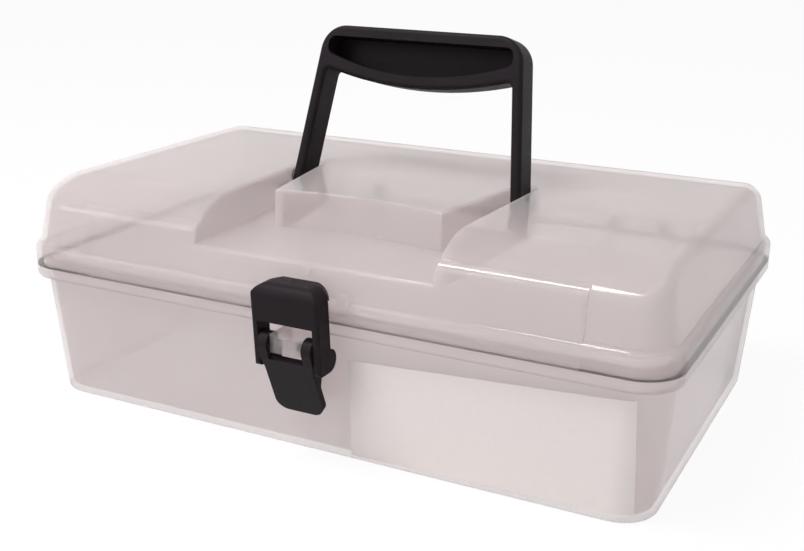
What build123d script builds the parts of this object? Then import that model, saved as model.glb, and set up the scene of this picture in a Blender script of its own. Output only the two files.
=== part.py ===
"""Lidded polypropylene storage box with a folding bail handle and an over-centre front latch.

Millimetres, +Z up. X runs along the box, the front with the latch is at -Y, and the origin is the
middle of the face that the box stands on.
"""
import os
from math import cos, radians, sin, tan

from build123d import *

os.makedirs("parts", exist_ok=True)

# Base tub
base_length = 217.0
base_depth = 131.2
base_corner_radius = 12.0
base_draft = 4.0
base_edge_radius = 1.5
parting_height = 47.0
base_wall = 1.8
base_floor = 2.0
lip_height = 2.4
lip_thickness = 1.2

# Rim flange of the tub and skirt of the lid, flush with each other
rim_reach = 2.35
rim_thickness = 4.2
rim_underside_radius = 1.6
skirt_height = 8.4
skirt_wall = 1.9
skirt_edge_radius = 3.0

# Lid crown above the skirt
lid_top_height = 76.6
lid_wall = 1.8
crown_setback = 2.1
crown_corner_radius = 10.6
crown_corner_taper = 0.12
crown_draft = 10.5
front_arc_start = 23.2
front_arc_radius = 25.0
back_arc_start = 25.9
back_arc_radius = 30.0
arc_sweep = 60.0
crown_edge_radius = 5.0
panel_length = 176.0
panel_proud = 1.0
panel_drop = 6.6
panel_rise = 2.6
panel_round = 4.0

# Handle, leaning back on its stop
handle_lean = 14.1
pivot_y = -1.1
pivot_depth = 4.6
handle_foot_width = 87.6
handle_height = 54.5
handle_splay = 6.8
leg_width = 3.8
leg_depth = 11.8
grip_bottom_middle = 34.6
grip_bottom_end = 39.6
grip_corner_radius = 9.5
grip_inner_radius = 2.0
hollow_length = 70.0
hollow_top = 50.6
hollow_bottom_middle = 38.6
hollow_bottom_end = 44.8
hollow_corner_radius = 2.8
grip_back_wall = 2.2
handle_edge_radius = 1.5
trunnion_radius = 2.2
trunnion_reach = 2.6
pivot_clearance = 0.1

# Recess in the lid that takes the folded handle
recess_floor_drop = 12.8
recess_side_clearance = 1.2
recess_corner_radius = 1.2
recess_sill_radius = 1.5
recess_brim_radius = 0.8
stop_gap = 0.3
bay_half_width = 41.7
bay_clearance = 1.0
tongue_clearance = 2.4
tongue_front_half = 30.6

# Hinge at the back
hinge_offset = 4.2
hinge_rise = 2.0
hinge_spacing = 124.0
knuckle_width = 16.0
knuckle_radius = 3.2
hinge_pin_radius = 1.7
ear_thickness = 4.0
side_clearance = 0.3

# Latch
lug_drop = 2.9
lug_width = 11.6
lug_height = 5.9
lug_reach = 10.8
lug_nose = 0.8
lug_nose_inset = 2.8
lever_pivot_rise = 2.7
lever_pivot_setback = 2.5
ear_width = 3.2
ear_radius = 3.5
ear_low_radius = 3.4
frame_pivot_drop = 4.7
frame_pivot_back = 2.2
latch_pin_radius = 1.2
latch_pin_reach = 1.3
tongue_tilt = 23.0
tongue_offset = 3.8
tongue_start = 3.7
tongue_length = 24.8
tongue_half = 8.45
tongue_thickness = 2.4
tongue_tip_radius = 4.0
web_length = 14.0
frame_leg_width = 2.1
frame_depth = 6.7
frame_front_reach = 12.0
frame_lean = 4.5
window_rise = 1.1
hook_rise = 4.6
hook_thickness = 3.8
hook_lip_drop = 1.0
hook_lip_depth = 1.9
hook_gap = 1.0
hook_nose_half = 9.7
lobe_radius = 3.7
lobe_back = 2.0
lobe_rise = 0.4
toe_radius = 1.7
frame_corner_radius = 5.2
frame_edge_radius = 1.2

# Catch on the lid, either side of the hook, and the rib above it
catch_cheek_width = 3.6
catch_reach = 0.75
catch_height = 4.9
catch_rise = 1.2
catch_gap = 0.4
rib_width = 3.4
rib_reach = 0.9

# Sizes that follow from the ones above
base_growth = tan(radians(base_draft))
base_top_length = base_length + 2 * parting_height * base_growth
base_top_depth = base_depth + 2 * parting_height * base_growth
base_top_radius = base_corner_radius + 1.0
rim_length = base_top_length + 2 * rim_reach
rim_depth = base_top_depth + 2 * rim_reach
rim_corner_radius = base_top_radius
lip_length = base_top_length - 2 * base_wall + 2 * lip_thickness
lip_depth = base_top_depth - 2 * base_wall + 2 * lip_thickness
ledge_height = parting_height + skirt_height
crown_growth = tan(radians(crown_draft))
crown_length = rim_length - 2 * crown_setback
crown_depth = rim_depth - 2 * crown_setback
front_flat = rim_depth / 2 - front_arc_start
back_flat = rim_depth / 2 - back_arc_start
panel_top = lid_top_height - panel_drop
pivot_height = lid_top_height - pivot_depth
recess_floor = lid_top_height - recess_floor_drop
foot_half = handle_foot_width / 2
splay_growth = tan(radians(handle_splay))
lean_sin = sin(radians(handle_lean))
lean_cos = cos(radians(handle_lean))
hinge_y = rim_depth / 2 + hinge_offset
hinge_z = parting_height + hinge_rise
lug_top = parting_height - lug_drop
lug_front = -rim_depth / 2 - lug_reach
lever_pivot_y = lug_front + lever_pivot_setback
lever_pivot_z = lug_top - lug_height + lever_pivot_rise
frame_pivot_y = lever_pivot_y + frame_pivot_back
frame_pivot_z = lever_pivot_z - frame_pivot_drop
lever_half = lug_width / 2 + side_clearance + ear_width
frame_half = lever_half + side_clearance + frame_leg_width
hook_top = ledge_height + hook_rise
window_top = parting_height + window_rise
hook_nose = -rim_depth / 2 - hook_gap


def base_half_depth(height):
    """Half the tub's outside depth at a height above its standing face."""
    return base_depth / 2 + height * base_growth


def crown_half_depth(height):
    """Half the crown's outside depth at a height, along its drafted wall."""
    return crown_depth / 2 - (height - ledge_height) * crown_growth


def profile_of_crown(inset):
    """Front-to-back outline of the lid: flat top, a large arc to the front and to the back, open walls."""
    top = lid_top_height - inset
    front_radius = front_arc_radius - inset
    back_radius = back_arc_radius - inset
    turn = radians(arc_sweep)
    front_end = (-front_flat - front_radius * sin(turn), top - front_radius * (1 - cos(turn)))
    back_end = (back_flat + back_radius * sin(turn), top - back_radius * (1 - cos(turn)))
    with BuildSketch(Plane.YZ) as outline:
        with BuildLine():
            Line((-front_flat, top), (back_flat, top))
            TangentArc((back_flat, top), back_end, tangent=(1, 0))
            Polyline(back_end, (back_end[0], parting_height), (front_end[0], parting_height), front_end)
            TangentArc((-front_flat, top), front_end, tangent=(-1, 0))
        make_face()
    return outline.sketch


def panel_face(height):
    """Where the front of the lid's panel lies at a height."""
    return -crown_half_depth(height) - panel_proud


def form_of_panel(inset):
    """The middle of the lid's front, which stands a little proud of its corners."""
    low_face = panel_face(parting_height) + inset
    top_face = panel_face(panel_top) + inset
    with BuildPart() as panel:
        with BuildSketch(Plane.YZ) as side_outline:
            with BuildLine():
                Polyline(
                    (low_face, parting_height),
                    (top_face, panel_top - inset),
                    (-front_flat, panel_top + panel_rise - inset),
                    (-front_flat, parting_height),
                    close=True,
                )
            make_face()
            shoulder = side_outline.vertices().sort_by_distance((top_face, panel_top - inset, 0))[0]
            fillet(shoulder, panel_round - inset / 2)
        extrude(amount=panel_length / 2 - inset, both=True)
    return panel.part


def form_of_crown(inset):
    """The lid above its skirt as a solid, drawn in by inset: drafted walls under the arched top."""
    low = parting_height
    high = lid_top_height + skirt_height
    panel = form_of_panel(inset)
    top_profile = profile_of_crown(inset)
    with BuildPart() as crown:
        for height in (low, high):
            grow = 2 * ((ledge_height - height) * crown_growth - inset)
            corner = crown_corner_radius + (ledge_height - height) * crown_corner_taper - inset
            with BuildSketch(Plane.XY.offset(height)):
                RectangleRounded(crown_length + grow, crown_depth + grow, corner)
        loft(ruled=True)
        extrude(top_profile, amount=rim_length, both=True, mode=Mode.INTERSECT)
        upper_half = (ledge_height + lid_top_height) / 2 - inset
        shoulder = crown.edges().filter_by_position(Axis.Z, upper_half, lid_top_height)
        fillet(shoulder, crown_edge_radius - inset)
        add(panel)
    return crown.part


def handle_outer(reach):
    """Half the handle's outside width at a distance from its pivot, measured along the legs."""
    return foot_half - reach * splay_growth


def handle_inner(reach):
    """Half the gap between the handle's legs at a distance from its pivot."""
    return handle_outer(reach) - leg_width


def frame_face(height):
    """Where the front of the latch frame lies at a height, leaning with the wall of the tub."""
    return -rim_depth / 2 - frame_front_reach + (hook_top - height) * tan(radians(frame_lean))


def frame_rear(height):
    """Where the back of the latch frame's legs lies at a height."""
    return frame_face(height) + frame_depth


# Ingredients of the tub: the rim flange, the cavity and the latch lug
with BuildPart() as rim_flange:
    with BuildSketch(Plane.XY.offset(parting_height - rim_thickness)):
        RectangleRounded(rim_length, rim_depth, rim_corner_radius)
    extrude(amount=rim_thickness)
    fillet(rim_flange.faces().sort_by(Axis.Z)[0].edges(), rim_underside_radius)

with BuildPart() as tub_cavity:
    for height in (base_floor, parting_height + 2 * lip_height):
        grow = 2 * (height * base_growth - base_wall)
        with BuildSketch(Plane.XY.offset(height)):
            RectangleRounded(base_length + grow, base_depth + grow, base_corner_radius - base_wall)
    loft(ruled=True)
    fillet(tub_cavity.faces().sort_by(Axis.Z)[0].edges(), base_edge_radius - base_wall / 2)

with BuildPart() as latch_lug:
    with BuildSketch(Plane.XZ.offset(base_depth / 2)):
        with Locations((0, lug_top - lug_height / 2)):
            Rectangle(lug_width, lug_height)
    extrude(amount=-lug_front - lug_nose - base_depth / 2)
    for front, narrowing in ((-lug_front - lug_nose, 0), (-lug_front, lug_nose_inset)):
        with BuildSketch(Plane.XZ.offset(front)):
            with Locations((0, lug_top - lug_height / 2)):
                Rectangle(lug_width - 2 * narrowing, lug_height - narrowing / 2)
    loft(ruled=True)

# Base tub: drafted shell with a rim flange, a locating lip, the latch lug and two pairs of hinge ears
hinge_places = (-hinge_spacing / 2, hinge_spacing / 2)
ear_offset = knuckle_width / 2 + side_clearance
with BuildPart() as base_tub:
    for height, length, depth, radius in (
        (0, base_length, base_depth, base_corner_radius),
        (parting_height, base_top_length, base_top_depth, base_top_radius),
    ):
        with BuildSketch(Plane.XY.offset(height)):
            RectangleRounded(length, depth, radius)
    loft(ruled=True)
    fillet(base_tub.faces().sort_by(Axis.Z)[0].edges(), base_edge_radius)
    add(rim_flange.part)
    add(latch_lug.part)
    gusset_low = parting_height - 3 * rim_thickness
    gusset_high = parting_height - rim_thickness
    for hinge_x in hinge_places:
        for ear_x in (hinge_x - ear_offset - ear_thickness, hinge_x + ear_offset):
            with BuildSketch(Plane.YZ.offset(ear_x)):
                with Locations((hinge_y, hinge_z)):
                    Circle(knuckle_radius)
                with BuildLine():
                    Polyline(
                        (base_half_depth(gusset_low) - base_wall, gusset_low),
                        (base_half_depth(gusset_low), gusset_low),
                        (rim_depth / 2 - base_wall / 2, gusset_high),
                        close=True,
                    )
                make_face()
                make_hull()
            extrude(amount=ear_thickness)
    with BuildSketch(Plane.XY.offset(parting_height)):
        Rectangle(rim_length, rim_depth + 2 * side_clearance)
    extrude(amount=skirt_height, mode=Mode.SUBTRACT)
    with BuildSketch(Plane.XY.offset(parting_height)):
        RectangleRounded(lip_length, lip_depth, base_top_radius - base_wall + lip_thickness)
    extrude(amount=lip_height)
    add(tub_cavity.part, mode=Mode.SUBTRACT)
    with BuildSketch(Plane.YZ):
        with Locations((hinge_y, hinge_z)):
            Circle(hinge_pin_radius + pivot_clearance)
    extrude(amount=rim_length / 2, both=True, mode=Mode.SUBTRACT)
    with BuildSketch(Plane.YZ):
        with Locations((lever_pivot_y, lever_pivot_z)):
            Circle(latch_pin_radius + pivot_clearance)
    extrude(amount=lug_width, both=True, mode=Mode.SUBTRACT)

# Plan of the recess: a slot for each leg and a bay for the grip, open to the front
stop_reach = (pivot_depth + leg_depth / 2 * lean_sin) / lean_cos
slot_back = pivot_y + stop_reach * lean_sin + leg_depth / 2 * lean_cos + stop_gap
bay_front = -rim_depth / 2 - crown_setback
tongue_middle = pivot_y - grip_bottom_middle + bay_clearance
tongue_end = pivot_y - grip_bottom_end + 2 * bay_clearance
slot_inner = handle_inner(0) - tongue_clearance
slot_outer = foot_half + recess_side_clearance
with BuildSketch() as recess_plan:
    with BuildLine():
        Polyline(
            (tongue_front_half, tongue_end),
            (slot_inner, slot_back),
            (slot_outer, slot_back),
            (bay_half_width, bay_front),
            (-bay_half_width, bay_front),
            (-slot_outer, slot_back),
            (-slot_inner, slot_back),
            (-tongue_front_half, tongue_end),
        )
        ThreePointArc((-tongue_front_half, tongue_end), (0, tongue_middle), (tongue_front_half, tongue_end))
    make_face()
    fillet(recess_plan.vertices().group_by(Axis.Y)[-1], recess_corner_radius)

with BuildSketch() as recess_wall_plan:
    add(recess_plan.sketch)
    offset(amount=lid_wall, kind=Kind.INTERSECTION, mode=Mode.REPLACE)

# Ingredients of the lid: the skirt and the cavity under the crown
crown_outside = form_of_crown(0)
crown_inside = form_of_crown(lid_wall)

with BuildPart() as skirt:
    with BuildSketch(Plane.XY.offset(parting_height)):
        RectangleRounded(rim_length, rim_depth, rim_corner_radius)
    extrude(amount=skirt_height)
    fillet(skirt.faces().sort_by(Axis.Z)[-1].edges(), skirt_edge_radius)

with BuildPart() as lid_cavity:
    with BuildSketch(Plane.XY.offset(parting_height)):
        RectangleRounded(rim_length - 2 * skirt_wall, rim_depth - 2 * skirt_wall, rim_corner_radius - skirt_wall)
    extrude(amount=skirt_height - skirt_wall)
    add(crown_inside)
    with BuildSketch(Plane.XY.offset(recess_floor - lid_wall)):
        add(recess_wall_plan.sketch)
    extrude(amount=recess_floor_drop + lid_wall, mode=Mode.SUBTRACT)

# Lid: skirt and crown hollowed out, the recess, hinge knuckles with moulded pins, rib and catch cheeks
cheek_inner = frame_half + catch_gap
rib_top = recess_floor - recess_sill_radius
rib_foot = ledge_height - skirt_edge_radius
with BuildPart() as lid:
    add(skirt.part)
    add(crown_outside)
    with BuildSketch(Plane.XY.offset(recess_floor)):
        add(recess_plan.sketch)
    extrude(amount=recess_floor_drop + lid_wall, mode=Mode.SUBTRACT)
    sill = lid.edges().filter_by(Axis.X).filter_by_position(Axis.Z, recess_floor - 0.01, recess_floor + 0.01)
    fillet(sill.sort_by(Axis.Y)[0], recess_sill_radius)
    brim = lid.edges().filter_by(lambda edge: abs(edge.center().X) < slot_outer)
    brim = brim.filter_by(lambda edge: edge.center().Y < slot_back + recess_corner_radius)
    brim = brim.filter_by(lambda edge: edge.center().Z > recess_floor + recess_sill_radius)
    brim = brim.filter_by(lambda edge: abs(edge.tangent_at(0.5).Z) < 0.999)
    fillet(brim, recess_brim_radius)
    add(lid_cavity.part, mode=Mode.SUBTRACT)
    for hinge_x in hinge_places:
        with BuildSketch(Plane.YZ.offset(hinge_x - knuckle_width / 2)):
            with Locations((hinge_y, hinge_z)):
                Circle(knuckle_radius)
            with BuildLine():
                Polyline(
                    (rim_depth / 2 - skirt_wall / 2, hinge_z - hinge_rise / 2),
                    (rim_depth / 2, hinge_z - hinge_rise / 2),
                    (rim_depth / 2 - skirt_wall / 2, hinge_z + skirt_height / 2),
                    close=True,
                )
            make_face()
            make_hull()
        extrude(amount=knuckle_width)
        with BuildSketch(Plane.YZ.offset(hinge_x)):
            with Locations((hinge_y, hinge_z)):
                Circle(hinge_pin_radius)
        extrude(amount=ear_offset + ear_thickness, both=True)
    with BuildSketch(Plane.YZ):
        with BuildLine():
            Polyline(
                (panel_face(ledge_height) - rib_reach, rib_foot),
                (panel_face(rib_top) - rib_reach, rib_top),
                (panel_face(rib_top) + lid_wall / 2, rib_top),
                (panel_face(ledge_height) + lid_wall / 2, rib_foot),
                close=True,
            )
        make_face()
    extrude(amount=rib_width / 2, both=True)
    for side in (-1, 1):
        with BuildSketch(Plane.XY.offset(ledge_height + catch_rise - catch_height)):
            with Locations((side * (cheek_inner + catch_cheek_width / 2), -rim_depth / 2 - catch_reach)):
                Rectangle(catch_cheek_width, catch_reach + crown_setback, align=(Align.CENTER, Align.MIN))
        extrude(amount=catch_height)
        with BuildSketch(Plane.YZ.offset(side * handle_inner(0))):
            with Locations((pivot_y, pivot_height)):
                Circle(trunnion_radius + pivot_clearance)
        extrude(amount=side * (leg_width + recess_side_clearance + 2 * lid_wall), mode=Mode.SUBTRACT)

# Handle: bail with splayed flat legs, rounded feet and a grip that is hollow from the front
handle_front = Plane(
    origin=(0, pivot_y, pivot_height),
    x_dir=(1, 0, 0),
    z_dir=(0, -lean_cos, lean_sin),
)
handle_side = Plane(
    origin=(0, pivot_y, pivot_height),
    x_dir=(0, lean_cos, -lean_sin),
    z_dir=(1, 0, 0),
)
foot_end = -leg_depth
with BuildPart() as handle:
    with BuildSketch(handle_front) as bail:
        with BuildLine():
            Polyline(
                (handle_outer(foot_end), foot_end),
                (handle_outer(handle_height), handle_height),
                (-handle_outer(handle_height), handle_height),
                (-handle_outer(foot_end), foot_end),
                close=True,
            )
        make_face()
        fillet(bail.vertices().group_by(Axis.Y)[-1], grip_corner_radius)
        with BuildSketch(mode=Mode.SUBTRACT) as gap:
            with BuildLine():
                Polyline(
                    (handle_inner(grip_bottom_end), grip_bottom_end),
                    (handle_inner(foot_end), foot_end),
                    (-handle_inner(foot_end), foot_end),
                    (-handle_inner(grip_bottom_end), grip_bottom_end),
                )
                ThreePointArc(
                    (-handle_inner(grip_bottom_end), grip_bottom_end),
                    (0, grip_bottom_middle),
                    (handle_inner(grip_bottom_end), grip_bottom_end),
                )
            make_face()
            fillet(gap.vertices().group_by(Axis.Y)[-1], grip_inner_radius)
    extrude(amount=leg_depth / 2, both=True)
    with BuildSketch(handle_side):
        Circle(leg_depth / 2)
        with Locations((0, handle_height / 2)):
            Rectangle(leg_depth, handle_height)
    extrude(amount=handle_foot_width, both=True, mode=Mode.INTERSECT)
    broad_faces = handle.faces().filter_by(handle_front).group_by(Axis.Y)
    fillet(broad_faces[0].edges() + broad_faces[-1].edges(), handle_edge_radius)
    with BuildSketch(handle_front.offset(leg_depth / 2)) as hollow:
        with BuildLine():
            Polyline(
                (-hollow_length / 2, hollow_bottom_end),
                (-hollow_length / 2, hollow_top),
                (hollow_length / 2, hollow_top),
                (hollow_length / 2, hollow_bottom_end),
            )
            ThreePointArc(
                (hollow_length / 2, hollow_bottom_end),
                (0, hollow_bottom_middle),
                (-hollow_length / 2, hollow_bottom_end),
            )
        make_face()
        fillet(hollow.vertices(), hollow_corner_radius)
    extrude(amount=grip_back_wall - leg_depth, mode=Mode.SUBTRACT)
    for side in (-1, 1):
        with BuildSketch(Plane.YZ.offset(side * handle_inner(0))):
            with Locations((pivot_y, pivot_height)):
                Circle(trunnion_radius)
        extrude(amount=side * (leg_width + trunnion_reach))

# Latch lever: two ears on the lug's pin line with webs down to the pull tongue, which leans in toward
# the tub, and a pin each side for the frame
tongue_sin = sin(radians(tongue_tilt))
tongue_cos = cos(radians(tongue_tilt))
tongue_plane = Plane(
    origin=(0, lever_pivot_y, lever_pivot_z),
    x_dir=(1, 0, 0),
    z_dir=(0, -tongue_cos, -tongue_sin),
)


def beside_tongue(along, out):
    """Point of the lever's side view, from its pivot: so far down along the tongue, so far out in front of it."""
    return (
        lever_pivot_y + along * tongue_sin - out * tongue_cos,
        lever_pivot_z - along * tongue_cos - out * tongue_sin,
    )


ear_inner = lug_width / 2 + side_clearance
with BuildPart() as latch_lever:
    with BuildSketch(tongue_plane.offset(tongue_offset)):
        with Locations((0, -tongue_start)):
            Rectangle(2 * lever_half, tongue_length - tongue_start, align=(Align.CENTER, Align.MAX))
    extrude(amount=-tongue_thickness)
    for side in (-1, 1):
        with BuildSketch(Plane.YZ.offset(side * ear_inner)):
            with Locations((lever_pivot_y, lever_pivot_z)):
                Circle(ear_radius)
            with Locations((frame_pivot_y, frame_pivot_z)):
                Circle(ear_low_radius)
            with BuildLine():
                Polyline(
                    beside_tongue(tongue_start, tongue_offset),
                    beside_tongue(web_length, tongue_offset),
                    beside_tongue(web_length, tongue_offset - tongue_thickness),
                    close=True,
                )
            make_face()
            make_hull()
        extrude(amount=side * ear_width)
    with BuildSketch(tongue_plane) as lever_outline:
        with BuildLine():
            Polyline(
                (-lever_half, 2 * ear_radius),
                (lever_half, 2 * ear_radius),
                (lever_half, -tongue_start),
                (tongue_half, -tongue_start - ear_radius),
                (tongue_half, -tongue_length),
                (-tongue_half, -tongue_length),
                (-tongue_half, -tongue_start - ear_radius),
                (-lever_half, -tongue_start),
                close=True,
            )
        make_face()
        fillet(lever_outline.vertices().group_by(Axis.Y)[0], tongue_tip_radius)
    extrude(amount=tongue_length, both=True, mode=Mode.INTERSECT)
    for side in (-1, 1):
        with BuildSketch(Plane.YZ.offset(side * (lever_half - ear_width / 2))):
            with Locations((lever_pivot_y, lever_pivot_z)):
                Circle(latch_pin_radius)
        extrude(amount=-side * (ear_width + latch_pin_reach))
        with BuildSketch(Plane.YZ.offset(side * (lever_half - ear_width / 2))):
            with Locations((frame_pivot_y, frame_pivot_z)):
                Circle(latch_pin_radius)
        extrude(amount=side * (ear_width / 2 + latch_pin_reach))

# Outline of the frame's head from the front, with rounded shoulders: straight, then narrowing to the nose
head_rear = frame_rear(window_top)
with BuildPart() as hook_envelope:
    for y, half in ((frame_face(hook_top), frame_half), (head_rear, frame_half), (hook_nose, hook_nose_half)):
        with BuildSketch(Plane.XZ.offset(-y)) as head_outline:
            with Locations((0, hook_top)):
                Rectangle(2 * half, hook_top, align=(Align.CENTER, Align.MAX))
            fillet(head_outline.vertices().group_by(Axis.Y)[-1], frame_corner_radius)
    loft(ruled=True)

# Latch frame: a cross-bar with the hook over the lid's ledge, and two legs down to the lever's pins
hook_underside = hook_top - hook_thickness
lobe_height = frame_pivot_z + lobe_rise
toe_height = lobe_height - lobe_radius + toe_radius
with BuildPart() as latch_frame:
    with BuildSketch(Plane.YZ) as hook:
        with BuildLine():
            Polyline(
                (frame_face(window_top), window_top),
                (frame_face(hook_top), hook_top),
                (hook_nose, hook_top),
                (hook_nose, hook_underside - hook_lip_drop),
                (hook_nose - hook_lip_depth, hook_underside - hook_lip_drop),
                (hook_nose - hook_lip_depth, hook_underside),
                (frame_rear(hook_underside), hook_underside),
                (frame_rear(window_top), window_top),
                close=True,
            )
        make_face()
        fillet(hook.vertices().group_by(Axis.Y)[-1].sort_by(Axis.X)[0], hook_thickness)
        fillet(hook.vertices().group_by(Axis.Y)[-1].sort_by(Axis.X)[-1], hook_lip_depth / 2)
    extrude(amount=frame_half, both=True)
    add(hook_envelope.part, mode=Mode.INTERSECT)
    for side in (-1, 1):
        with BuildSketch(Plane.YZ.offset(side * (lever_half + side_clearance))):
            with Locations((frame_pivot_y + lobe_back, lobe_height)):
                Circle(lobe_radius)
            with Locations((frame_face(toe_height) + toe_radius, toe_height)):
                Circle(toe_radius)
            make_hull()
            with BuildLine():
                Polyline(
                    (frame_face(window_top), window_top),
                    (frame_rear(window_top), window_top),
                    (frame_rear(lobe_height), lobe_height),
                    (frame_face(toe_height), toe_height),
                    close=True,
                )
            make_face()
        extrude(amount=side * frame_leg_width)
    with BuildSketch(Plane.XY) as frame_plan:
        with Locations((0, frame_face(0))):
            Rectangle(2 * frame_half, rim_depth, align=(Align.CENTER, Align.MIN))
        fillet(frame_plan.vertices().group_by(Axis.Y)[0], frame_edge_radius)
    extrude(amount=2 * hook_top, dir=(0, -sin(radians(frame_lean)), cos(radians(frame_lean))), mode=Mode.INTERSECT)
    with BuildSketch(Plane.YZ):
        with Locations((frame_pivot_y, frame_pivot_z)):
            Circle(latch_pin_radius + pivot_clearance)
    extrude(amount=lever_half + latch_pin_reach + pivot_clearance, both=True, mode=Mode.SUBTRACT)

for name, piece in (
    ("base_tub", base_tub),
    ("lid", lid),
    ("handle", handle),
    ("latch_lever", latch_lever),
    ("latch_frame", latch_frame),
):
    piece.part.label = name
    export_step(piece.part, f"parts/{name}.step")
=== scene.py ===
"""Storage box of natural polypropylene with a dark folding handle and latch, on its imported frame."""
import math

import bpy
import numpy as np
from mathutils import Matrix


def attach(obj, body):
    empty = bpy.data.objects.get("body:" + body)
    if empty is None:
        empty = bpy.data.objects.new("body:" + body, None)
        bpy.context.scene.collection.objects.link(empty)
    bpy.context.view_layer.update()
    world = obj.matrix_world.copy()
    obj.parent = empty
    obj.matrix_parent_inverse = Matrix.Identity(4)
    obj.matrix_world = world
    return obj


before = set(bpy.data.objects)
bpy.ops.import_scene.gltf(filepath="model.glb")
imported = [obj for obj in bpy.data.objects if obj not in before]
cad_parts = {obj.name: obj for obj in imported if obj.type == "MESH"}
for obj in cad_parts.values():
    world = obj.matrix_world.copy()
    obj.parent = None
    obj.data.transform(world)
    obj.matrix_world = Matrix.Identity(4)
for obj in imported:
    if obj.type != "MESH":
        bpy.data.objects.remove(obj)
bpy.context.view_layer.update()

# Tub and lid
# Two thin injection-moulded shells of natural polypropylene, polished on the outside.
# The lid turns on moulded pins at the back and carries the recess for the handle.


def linear(hex_colour):
    """An sRGB hex colour as linear RGBA: each channel goes through the sRGB curve."""
    channels = [int(hex_colour[i:i + 2], 16) / 255 for i in (1, 3, 5)]
    curve = [c / 12.92 if c <= 0.04045 else ((c + 0.055) / 1.055) ** 2.4 for c in channels]
    return (*curve, 1.0)


def blank_tree(owner):
    """The emptied node tree of a material or a world."""
    owner.use_nodes = True
    owner.node_tree.nodes.clear()
    return owner.node_tree


def wire(tree, kind, sockets=None, **settings):
    """Adds one node with its settings to a tree, its sockets filled with values or other nodes' outputs."""
    made = tree.nodes.new(kind)
    for name, value in settings.items():
        setattr(made, name, value)
    for name, value in (sockets or {}).items():
        if isinstance(value, bpy.types.NodeSocket):
            tree.links.new(value, made.inputs[name])
        else:
            made.inputs[name].default_value = value
    return made


def dress(names, material):
    """Gives the mouldings of these names one material."""
    for name in names:
        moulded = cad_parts[name].data
        moulded.materials.clear()
        moulded.materials.append(material)


# Natural polypropylene, injection moulded: milky, so what lies behind it shows as soft shapes,
# with a bright skin from the polished mould and faint cloudy flow marks a few centimetres wide.
# The body hardly bends light, as thin walls with parallel faces do, and scatters it over several
# millimetres; the coat has the plastic's own index and gives the gloss.
flow_mm = 45
ripple_mm = 9
polypropylene = bpy.data.materials.new("natural_polypropylene")
tree = blank_tree(polypropylene)
place = wire(tree, "ShaderNodeTexCoord").outputs["Object"]
flow = wire(
    tree,
    "ShaderNodeTexNoise",
    {"Vector": place, "Scale": 1000 / flow_mm, "Detail": 3.0, "Distortion": 0.6},
)
haze = wire(
    tree,
    "ShaderNodeMix",
    {"Factor": flow.outputs["Fac"], "A": linear("#E5DFDF"), "B": linear("#DFD8D8")},
    data_type="RGBA",
)
ripple = wire(tree, "ShaderNodeTexNoise", {"Vector": place, "Scale": 1000 / ripple_mm, "Detail": 2.0})
skin = wire(
    tree,
    "ShaderNodeBump",
    {"Height": ripple.outputs["Fac"], "Strength": 0.05, "Distance": 0.0004},
)
shell = wire(
    tree,
    "ShaderNodeBsdfPrincipled",
    {
        "Base Color": haze.outputs["Result"],
        "Roughness": 1.0,
        "IOR": 1.01,
        "Transmission Weight": 0.83,
        "Subsurface Weight": 1.0,
        "Subsurface Radius": (1.0, 1.0, 1.0),
        "Subsurface Scale": 0.008,
        "Coat Weight": 0.52,
        "Coat Roughness": 0.05,
        "Coat IOR": 1.49,
        "Normal": skin.outputs["Normal"],
    },
)
wire(tree, "ShaderNodeOutputMaterial", {"Surface": shell.outputs["BSDF"]})
dress(("base_tub", "lid"), polypropylene)

# Handle and latch
# Charcoal polypropylene mouldings with a fine spark-eroded grain: the bail handle snaps into the
# lid's slots, the lever into the tub's lug, and the hook frame onto the lever's pins.

# Charcoal polypropylene from a spark-eroded mould: nearly black, with a dull sheen that breaks up
# on the grain. The grain is about 0.3 mm, drawn at 0.9 mm so that it shows in the render.
grain_mm = 0.9
cloud_mm = 14
charcoal = bpy.data.materials.new("charcoal_polypropylene")
tree = blank_tree(charcoal)
place = wire(tree, "ShaderNodeTexCoord").outputs["Object"]
grain = wire(
    tree,
    "ShaderNodeTexNoise",
    {"Vector": place, "Scale": 1000 / grain_mm, "Detail": 2.0, "Roughness": 0.6},
)
cloud = wire(tree, "ShaderNodeTexNoise", {"Vector": place, "Scale": 1000 / cloud_mm, "Detail": 4.0})
tone = wire(
    tree,
    "ShaderNodeMix",
    {"Factor": cloud.outputs["Fac"], "A": linear("#1B1619"), "B": linear("#221C20")},
    data_type="RGBA",
)
sheen = wire(
    tree,
    "ShaderNodeMapRange",
    {"Value": grain.outputs["Fac"], "From Min": 0.3, "From Max": 0.7, "To Min": 0.42, "To Max": 0.56},
)
relief = wire(
    tree,
    "ShaderNodeBump",
    {"Height": grain.outputs["Fac"], "Strength": 0.25, "Distance": 0.00008},
)
moulding = wire(
    tree,
    "ShaderNodeBsdfPrincipled",
    {
        "Base Color": tone.outputs["Result"],
        "Roughness": sheen.outputs["Result"],
        "IOR": 1.49,
        "Specular IOR Level": 0.1,
        "Normal": relief.outputs["Normal"],
    },
)
wire(tree, "ShaderNodeOutputMaterial", {"Surface": moulding.outputs["BSDF"]})
dress(("handle", "latch_lever", "latch_frame"), charcoal)

# Label
# A bare coated-paper sticker on the front of the tub, put on a little crooked, with its right end
# carried a few millimetres round the corner.

# Corners in millimetres: along the wall from the middle of the front, and up from the floor.
label_corners = np.array([[13.6, 1.7], [104.6, 3.3], [103.6, 39.9], [13.7, 34.7]])
label_lift = 0.12
label_columns, label_rows = 61, 13

# The tub's outside at its foot in millimetres, its draft in degrees, and the height over which
# the corner's radius grows by one millimetre.
foot_half_length = 108.5
foot_half_depth = 65.6
foot_corner = 12.0
wall_draft = 4.0
corner_rise = 47.0


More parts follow.
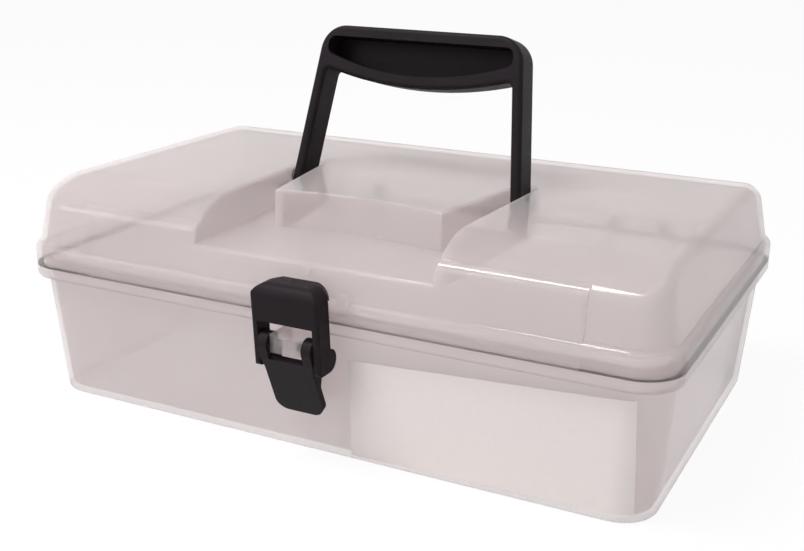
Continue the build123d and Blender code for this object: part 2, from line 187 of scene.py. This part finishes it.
def tub_wall(along, height, lift):
    """Point on the tub's outside from its front middle: straight along the front, then round the corner.

    The half length, half depth and corner radius grow with height by the wall's draft.
    """
    grow = height * math.tan(math.radians(wall_draft))
    corner = foot_corner + height / corner_rise
    straight = foot_half_length + grow - corner
    turn = np.clip((along - straight) / corner, 0.0, None)
    x = np.minimum(along, straight) + (corner + lift) * np.sin(turn)
    y = -(foot_half_depth + grow - corner) - (corner + lift) * np.cos(turn)
    return np.stack([x, y, height], axis=-1) / 1000


def grid_faces(rows, columns):
    """Quads of a grid of points, row after row."""
    first = (np.arange(rows - 1)[:, None] * columns + np.arange(columns - 1)[None, :]).ravel()
    return np.stack([first, first + 1, first + columns + 1, first + columns], axis=1)


across, upward = np.meshgrid(np.linspace(0, 1, label_columns), np.linspace(0, 1, label_rows))
bottom = label_corners[0] + across[..., None] * (label_corners[1] - label_corners[0])
top = label_corners[3] + across[..., None] * (label_corners[2] - label_corners[3])
flat_points = bottom + upward[..., None] * (top - bottom)
points = tub_wall(flat_points[..., 0], flat_points[..., 1], label_lift).reshape(-1, 3)
label_mesh = bpy.data.meshes.new("label")
label_mesh.from_pydata(points.tolist(), [], grid_faces(label_rows, label_columns).tolist())
label_mesh.polygons.foreach_set("use_smooth", np.ones(len(label_mesh.polygons), dtype=bool))
label = bpy.data.objects.new("label", label_mesh)
bpy.context.scene.collection.objects.link(label)

# Coated paper: white and even, with a fibre mottle of a millimetre or two and a soft gloss.
fibre_mm = 1.8
paper = bpy.data.materials.new("coated_paper")
tree = blank_tree(paper)
place = wire(tree, "ShaderNodeTexCoord").outputs["Object"]
fibre = wire(tree, "ShaderNodeTexNoise", {"Vector": place, "Scale": 1000 / fibre_mm, "Detail": 5.0})
mottle = wire(
    tree,
    "ShaderNodeMix",
    {"Factor": fibre.outputs["Fac"], "A": linear("#DCD4D2"), "B": linear("#D6CECC")},
    data_type="RGBA",
)
tooth = wire(
    tree,
    "ShaderNodeBump",
    {"Height": fibre.outputs["Fac"], "Strength": 0.08, "Distance": 0.00005},
)
sticker = wire(
    tree,
    "ShaderNodeBsdfPrincipled",
    {
        "Base Color": mottle.outputs["Result"],
        "Roughness": 0.38,
        "IOR": 1.5,
        "Normal": tooth.outputs["Normal"],
    },
)
wire(tree, "ShaderNodeOutputMaterial", {"Surface": sticker.outputs["BSDF"]})
label_mesh.materials.append(paper)
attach(label, "base")

# Studio
# A wide pale floor, an even white surround and two softboxes: the one above draws the bright line
# along the lid's shoulder, the one to the left makes that side of the box a little lighter.

floor_reach = 20
floor_whiteness = 0.92
floor_corners = [
    (-floor_reach, -floor_reach, 0),
    (floor_reach, -floor_reach, 0),
    (floor_reach, floor_reach, 0),
    (-floor_reach, floor_reach, 0),
]
floor_mesh = bpy.data.meshes.new("floor")
floor_mesh.from_pydata(floor_corners, [], [(0, 1, 2, 3)])
floor = bpy.data.objects.new("floor", floor_mesh)
bpy.context.scene.collection.objects.link(floor)
sweep = bpy.data.materials.new("studio_floor")
tree = blank_tree(sweep)
chalk = wire(tree, "ShaderNodeBsdfDiffuse", {"Color": linear("#F4F3F3")})
glow = wire(tree, "ShaderNodeEmission", {"Color": (1.0, 1.0, 1.0, 1.0), "Strength": 1.0})
ray = wire(tree, "ShaderNodeLightPath")
seen = wire(
    tree,
    "ShaderNodeMath",
    {0: ray.outputs["Is Camera Ray"], 1: ray.outputs["Is Glossy Ray"]},
    operation="MAXIMUM",
)
seen = wire(
    tree,
    "ShaderNodeMath",
    {0: seen.outputs[0], 1: ray.outputs["Is Transmission Ray"]},
    operation="MAXIMUM",
)
lift = wire(tree, "ShaderNodeMath", {0: seen.outputs[0], 1: floor_whiteness}, operation="MULTIPLY")
blend = wire(tree, "ShaderNodeMixShader", {0: lift.outputs[0], 1: chalk.outputs[0], 2: glow.outputs[0]})
wire(tree, "ShaderNodeOutputMaterial", {"Surface": blend.outputs[0]})
floor_mesh.materials.append(sweep)

world = bpy.data.worlds.new("studio")
bpy.context.scene.world = world
tree = blank_tree(world)
ray = wire(tree, "ShaderNodeLightPath")
seen = wire(
    tree,
    "ShaderNodeMath",
    {0: ray.outputs["Is Glossy Ray"], 1: ray.outputs["Is Transmission Ray"]},
    operation="MAXIMUM",
)
strength = wire(tree, "ShaderNodeMapRange", {"Value": seen.outputs[0], "To Min": 0.52, "To Max": 0.8})
strength = wire(
    tree,
    "ShaderNodeMapRange",
    {"Value": ray.outputs["Is Camera Ray"], "To Min": strength.outputs["Result"], "To Max": 1.0},
)
surround = wire(
    tree,
    "ShaderNodeBackground",
    {"Color": (1.0, 1.0, 1.0, 1.0), "Strength": strength.outputs["Result"]},
)
wire(tree, "ShaderNodeOutputWorld", {"Surface": surround.outputs[0]})

box_middle = np.array([0.02, 0.0, 0.05])


def set_up(thing, side, upright, backward, spot):
    """Stands a lamp or a camera on a spot: its three axes and the spot are the columns of its matrix."""
    turned = np.eye(4)
    turned[:3] = np.stack([side, upright, backward, spot], axis=1)
    thing.matrix_world = Matrix(turned)
    bpy.context.scene.collection.objects.link(thing)


def hang_softbox(name, spot, width, height, watts):
    """A rectangular lamp on a spot, turned to the middle of the box."""
    lamp = bpy.data.lights.new(name, "AREA")
    lamp.shape = "RECTANGLE"
    lamp.size = width
    lamp.size_y = height
    lamp.energy = watts
    aim = box_middle - spot
    aim = aim / np.linalg.norm(aim)
    side = np.cross(aim, (0.0, 0.0, 1.0))
    side = side / np.linalg.norm(side)
    set_up(bpy.data.objects.new(name, lamp), side, np.cross(side, aim), -aim, spot)


hang_softbox("softbox_above", np.array([-0.27, -0.37, 0.957]), width=0.42, height=0.22, watts=7.0)
hang_softbox("softbox_left", np.array([-0.55, -0.75, 0.55]), width=0.5, height=0.5, watts=2.0)

# Light crosses many thin walls here, so it may go on for longer than by default.
wall_crossings = 32
bpy.context.scene.cycles.max_bounces = wall_crossings
bpy.context.scene.cycles.transmission_bounces = wall_crossings
bpy.context.scene.cycles.glossy_bounces = wall_crossings
bpy.context.scene.cycles.diffuse_bounces = 12

# Camera
# Above the front and to the right, turned by a fraction of a degree, at the photograph's angle.

azimuth, elevation, roll = np.radians([26.8, 18.0, 0.64])
camera_spot = np.array([0.17804, -0.35746, 0.17004])
backward = np.array(
    [math.sin(azimuth) * math.cos(elevation), -math.cos(azimuth) * math.cos(elevation), math.sin(elevation)]
)
level = np.array([math.cos(azimuth), math.sin(azimuth), 0.0])
plumb = np.cross(backward, level)
right = level * math.cos(roll) + plumb * math.sin(roll)
up = plumb * math.cos(roll) - level * math.sin(roll)
camera_data = bpy.data.cameras.new("camera")
camera_data.sensor_width = 36.0
camera_data.lens = 52.56
camera = bpy.data.objects.new("camera", camera_data)
set_up(camera, right, up, backward, camera_spot)
bpy.context.scene.camera = camera
bpy.context.scene.view_settings.view_transform = "Standard"
